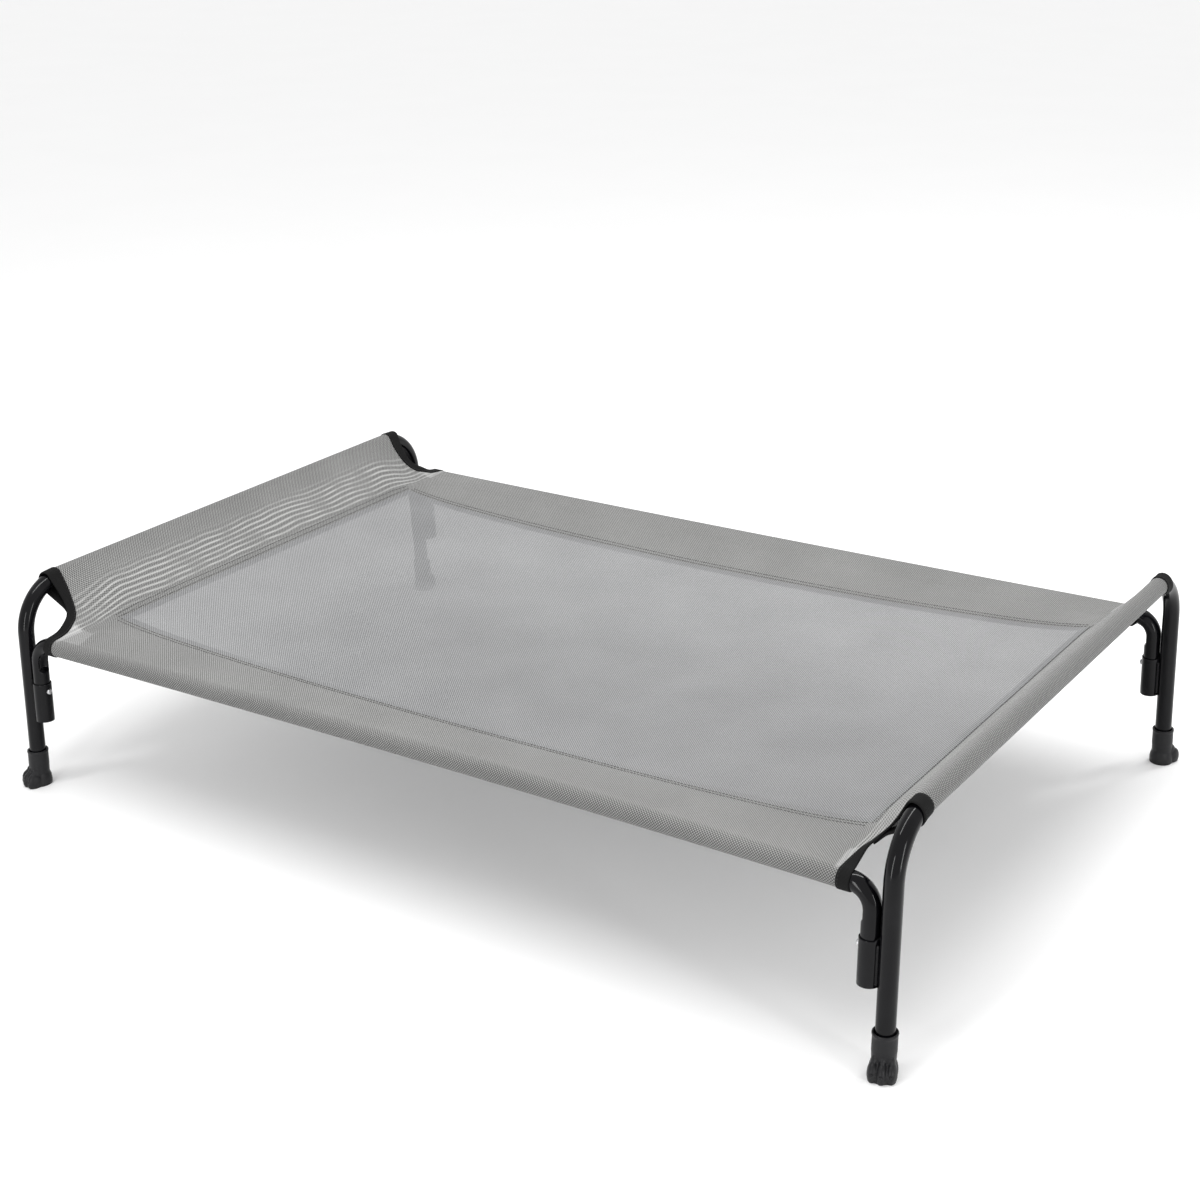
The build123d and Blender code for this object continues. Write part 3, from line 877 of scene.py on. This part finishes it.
def edge_line():
    """The bound edge of the cloth at one corner, on the flat cut."""
    lower_mouth = [(P_SEAM - 34, 340), (P_SEAM - 44, 337), (P_BACK + 26, MOUTH_Y - 1), (P_BACK, MOUTH_Y)]
    upper_mouth = [(P_TUBE, MOUTH_Y), (P_TUBE - 14, MOUTH_Y - 4), (SEAM_X + 57, MOUTH_Y - 4)]
    notch = [(SEAM_X + 45, 341), (SEAM_X + 37, 352), (MOUTH_X + 2, 366), (MOUTH_X, 380)]
    side_mouth = [(MOUTH_X, Q_TUBE + 4), (MOUTH_X, Q_BACK), (MOUTH_X + 2, Q_BACK + 20)]
    marks = lower_mouth + upper_mouth + notch + side_mouth
    return resampled(rounded([np.array(v, float) for v in marks], 3), 2.4)


EDGE = edge_line()
OUTLINE = np.concatenate([
    [(0, 0), (P_HEM, 0), (P_HEM, MOUTH_Y - 0.5), (P_SEAM - 8, MOUTH_Y - 0.5)],
    EDGE,
    [(SEAM_X + 3, Q_BACK + 24), (SEAM_X + 3, Q_HEM), (0, Q_HEM)],
])


def inside(p, q, outline):
    """True where flat points lie inside an outline."""
    found = np.zeros(np.shape(p), bool)
    for (a, b), (c, d) in zip(outline, np.roll(outline, -1, axis=0)):
        crosses = ((b > q) != (d > q)) & (p < (c - a) * (q - b) / (d - b + 1e-12) + a)
        found ^= crosses
    return found


def stations(marks, steps):
    """Grid lines that pass through all marks, with the given spacing between each pair."""
    line = [marks[0]]
    for a, b, step in zip(marks[:-1], marks[1:], steps):
        count = max(1, round((b - a) / step))
        line += [a + (b - a) * k / count for k in range(1, count + 1)]
    return np.array(line)


def cloth_grid():
    """Grid of the whole cloth and a mask of the quads that are cloth."""
    half_p = stations([0, 400, SEAM_X, P_TUBE, P_BACK, P_SEAM, P_HEM], [14, 7, 4, 2.2, 6, 4.5])
    half_q = stations([0, 180, SEAM_Y, Q_TUBE, Q_BACK, Q_SEAM, Q_HEM], [14, 7, 4, 2.2, 6, 4.5])
    p = np.concatenate([-half_p[:0:-1], half_p])
    q = np.concatenate([-half_q[:0:-1], half_q])
    mid_p, mid_q = np.abs((p[:-1] + p[1:]) / 2), np.abs((q[:-1] + q[1:]) / 2)
    cell_p, cell_q = np.meshgrid(mid_p, mid_q, indexing="ij")
    margin = 2.5  # the cloth stops this far inside its bound edge, under the tape
    p_out = cell_p + np.where(cell_q > 300, margin, 0)
    q_out = cell_q + np.where(cell_p > 530, margin, 0)
    keep = inside(p_out, q_out, OUTLINE) | (cell_p < MOUTH_X - 20) | (cell_q < MOUTH_Y - 16)
    return p, q, cell_p, cell_q, keep


def cloth_piece(name, chosen, grid, material):
    """One piece of the cloth: the chosen quads of the grid."""
    p, q, cell_p, cell_q, keep = grid
    i, j = np.nonzero(keep & chosen)
    columns = len(q)
    near, far = i * columns + j, (i + 1) * columns + j
    quads = np.stack([near, far, far + 1, near + 1], axis=-1)
    used, index = np.unique(quads, return_inverse=True)
    flat = np.stack([p[used // columns], q[used % columns]], axis=-1)
    return make_piece(name, cloth(flat[:, 0], flat[:, 1]), index.reshape(quads.shape), material, flat)


def tape_shape():
    """Tape folded over the bound edge at one corner, and the line along which it is sewn."""
    ends = np.gradient(EDGE, axis=0)
    inwards = unit(np.stack([-ends[:, 1], ends[:, 0]], axis=-1))
    if (inwards[0] @ (0, -1)) < 0:
        inwards = -inwards
    edge_p, edge_q = EDGE.T
    on_end_tube = smooth(P_TUBE - 34, P_TUBE, edge_p) * (1 - smooth(P_BACK, P_BACK + 40, edge_p))
    on_rail = smooth(Q_TUBE - 26, Q_TUBE, edge_q) * (1 - smooth(Q_BACK, Q_BACK + 40, edge_q))
    width = 11 + 7 * on_end_tube + 2 * on_rail
    half = 1.15  # half the thickness of tape, cloth and tape
    fold = 14    # how far the fold stands out past the edge, for each share below 0
    section = [(1.0, half * 0.75), (0.985, half)]
    section += [(w, half) for w in (0.75, 0.5, 0.25, 0.08)]
    section += [(0.0, half * 0.95), (-0.06, half * 0.6), (-0.08, 0)]
    section += [(-0.06, -half * 0.6), (0.0, -half * 0.95)]
    section += [(w, -half) for w in (0.08, 0.25, 0.5, 0.75, 0.985)]
    section += [(1.0, -half * 0.75)]
    rows, flat = [], []
    lengths = np.concatenate([[0], np.cumsum(np.linalg.norm(np.diff(EDGE, axis=0), axis=1))])
    for share, height in section:
        at = EDGE + inwards * (width * max(share, 0))[:, None]
        place = cloth(at[:, 0], at[:, 1])
        normal = cloth_normal(at[:, 0], at[:, 1])
        if share < 0:
            further = cloth(*(EDGE + inwards * 0.8).T)
            place = place + unit(place - further) * (-share * fold)
        rows.append(place + normal * height)
        flat.append(np.stack([lengths, width * share], axis=-1))
    points, faces = closed_tube(np.array(rows).transpose(1, 0, 2))
    flat = np.array(flat).transpose(1, 0, 2).reshape(-1, 2)
    sewn_line = EDGE + inwards * (width - 2.2)[:, None]
    return points, faces, flat, sewn_line


def stitches(name, lines, length, radius, lift, material):
    """A stitch between each two points of each line of flat points.

    Each line comes with 1 or -1, for the side of the cloth on which its stitches lie.
    """
    sides = 6
    around = [(math.cos(a), math.sin(a)) for a in np.arange(sides) * math.pi / 3]
    template = [(-0.5, 0, 0)]
    for at in (-0.38, 0, 0.38):
        template += [(at, c, d) for c, d in around]
    template = np.array(template + [(0.5, 0, 0)])
    reach = np.array([1 if abs(v[0]) < 0.1 else 0.8 for v in template])
    first, second, third, last = 1, 1 + sides, 1 + 2 * sides, 1 + 3 * sides
    ring = [(k, (k + 1) % sides) for k in range(sides)]
    body = [(a + j, a + k, a + sides + k, a + sides + j) for a in (first, second) for j, k in ring]
    cap = [(0, first + k, first + j) for j, k in ring]
    cap += [(last, third + j, third + k) for j, k in ring]
    points, faces, count = [], [], 0
    for line, side in lines:
        for at, nearby in zip(line[:-1], line[1:]):
            here, there = cloth(*at), cloth(*nearby)
            normal = cloth_normal(*at) * side
            along = unit(there - here)
            across = np.cross(normal, along)
            centre = (here + there) / 2 + normal * lift
            outwards = template[:, 1:2] * across + template[:, 2:] * normal
            points.append(centre + template[:, :1] * length * along + outwards * (radius * reach)[:, None])
            faces += [tuple(count + i for i in f) for f in body + cap]
            count += len(template)
    return make_piece(name, np.concatenate(points), faces, material)


def seam_rows():
    """The two rows of stitches of each seam, on the upper layer and on the lower one."""
    rows = {"head": [], "foot": [], "front": [], "back": []}
    pitch, half_end_row, half_side_row = 4.2, SEAM_Y + 4, 519
    q = np.arange(-half_end_row, half_end_row, pitch)
    p = np.arange(-half_side_row, half_side_row, pitch)
    for offset in (2.5, 8.5):
        for side, sign in (("head", -1), ("foot", 1)):
            for far in (SEAM_X + offset, P_SEAM - offset):
                rows[side].append((np.stack([np.full(len(q), sign * far), q], axis=-1), 1))
        for side, sign in (("front", -1), ("back", 1)):
            for wide in (SEAM_Y + offset, Q_SEAM - offset):
                rows[side].append((np.stack([p, np.full(len(p), sign * wide)], axis=-1), 1))
    return rows


def build_sling():
    """Centre panel, sleeves with their stitches, and the bindings at the corners."""
    grid = cloth_grid()
    p, q, cell_p, cell_q, _ = grid
    middle_p, middle_q = np.meshgrid((p[:-1] + p[1:]) / 2, (q[:-1] + q[1:]) / 2, indexing="ij")
    on_end = (cell_p > SEAM_X) & (cell_q < Q_TUBE)
    on_side = (cell_q > SEAM_Y) & ~on_end
    centre = cloth_piece("centre_cloth", ~on_end & ~on_side, grid, SINGLE)
    settle(centre, "mesh_single", "sling_centre")
    pieces = {}
    for side, chosen, material in (
        ("head", on_end & (middle_p < 0), SLOPE),
        ("foot", on_end & (middle_p > 0), SLOPE),
        ("front", on_side & (middle_q < 0), DOUBLE),
        ("back", on_side & (middle_q > 0), DOUBLE),
    ):
        piece = cloth_piece(f"sleeve_cloth_{side}", chosen, grid, material)
        pieces[side] = settle(piece, "mesh_double", f"sling_sleeve_{side}")
    rows = seam_rows()
    for side, piece in pieces.items():
        sewn = stitches(f"stitches_{side}", rows[side], 3.2, 0.42, 0.35, SEAM_THREAD)
        settle(sewn, "mesh_double")
        if side in ("head", "foot"):
            flat = (2 * MOUTH_Y * MM, (P_HEM - SEAM_X) * MM)
        else:
            flat = (2 * MOUTH_X * MM, (Q_HEM - SEAM_Y) * MM)
    points, faces, flat, sewn_line = tape_shape()
    for corner, (sx, sy) in CORNERS.items():
        some, sides = mirrored(points, faces, sx, sy)
        tape = make_piece(f"binding_{corner}", some, sides, TAPE, flat)
        tape.data.set_sharp_from_angle(angle=math.radians(60))
        settle(tape, "binding_tape", f"corner_binding_{corner}")
        line = resampled(sewn_line * (sx, sy), 3.4)
        both_sides = [(line, 1), (line, -1)]
        sewn = stitches(f"binding_stitches_{corner}", both_sides, 2.5, 0.3, 1.2, TAPE_THREAD)
        settle(sewn, "binding_tape")


# ---- stage ----
def build_stage():
    """Pale floor, white surroundings and three long soft lights."""
    mesh = bpy.data.meshes.new("floor")
    half = 12.0
    corners = [(-half, -half, 0), (half, -half, 0), (half, half, 0), (-half, half, 0)]
    mesh.from_pydata(corners, [], [(0, 1, 2, 3)])
    mesh.materials.append(floor_paint())
    floor = bpy.data.objects.new("floor", mesh)
    bpy.context.scene.collection.objects.link(floor)
    world = bpy.data.worlds.new("studio")
    world.use_nodes = True
    background = world.node_tree.nodes["Background"]
    background.inputs["Color"].default_value = grey(1)
    background.inputs["Strength"].default_value = 1.0
    bpy.context.scene.world = world
    # place in metres, direction of the long side, direction of the light, size in metres, watts
    for name, place, along, facing, size, power in (
        ("overhead", (0.17, 0.05, 2.4), (0.53, 0.84, -0.09), (0, 0, -1), (4.0, 0.24), 58),
        ("front", (0.17, -2.34, 0.6), (0, 0, 1), (0.05, 1, -0.1), (1.2, 0.24), 12),
        ("right", (2.4, -0.9, 0.5), (0, 0, 1), (-1, 0.3, -0.1), (1.2, 0.26), 12),
    ):
        data = bpy.data.lights.new(name, "AREA")
        data.shape = "RECTANGLE"
        data.size, data.size_y = size
        data.energy = power
        lamp = bpy.data.objects.new(name, data)
        long_side, facing = Vector(along).normalized(), Vector(facing)
        back = -(facing - long_side * long_side.dot(facing)).normalized()
        turned = Matrix((long_side, back.cross(long_side), back)).transposed().to_4x4()
        lamp.matrix_world = Matrix.Translation(place) @ turned
        bpy.context.scene.collection.objects.link(lamp)


CAMERA_TURN = (34.527, 21.837, -1.636)     # yaw, downward pitch and roll in degrees, fitted to the photo
CAMERA_PLACE = (1.2792, -1.8442, 1.1322)   # metres
CAMERA_LENS = 59.58                        # millimetres, for a sensor 36 mm wide


def build_camera():
    """The photo's camera."""
    yaw, pitch, roll = (math.radians(v) for v in CAMERA_TURN)
    level = math.cos(pitch)
    forward = Vector((-math.sin(yaw) * level, math.cos(yaw) * level, -math.sin(pitch)))
    right = Vector((math.cos(yaw), math.sin(yaw), 0))
    up = right.cross(forward)
    side = right * math.cos(roll) + up * math.sin(roll)
    top = up * math.cos(roll) - right * math.sin(roll)
    data = bpy.data.cameras.new("camera")
    data.sensor_width = 36
    data.lens = CAMERA_LENS
    camera = bpy.data.objects.new("camera", data)
    turned = Matrix((side, top, -forward)).transposed().to_4x4()
    camera.matrix_world = Matrix.Translation(CAMERA_PLACE) @ turned
    bpy.context.scene.collection.objects.link(camera)
    bpy.context.scene.camera = camera


build_stage()
build_camera()
build_frame()
build_springs()
finish_cad_nodes()
build_sling()
bpy.context.scene.view_settings.view_transform = "Standard"
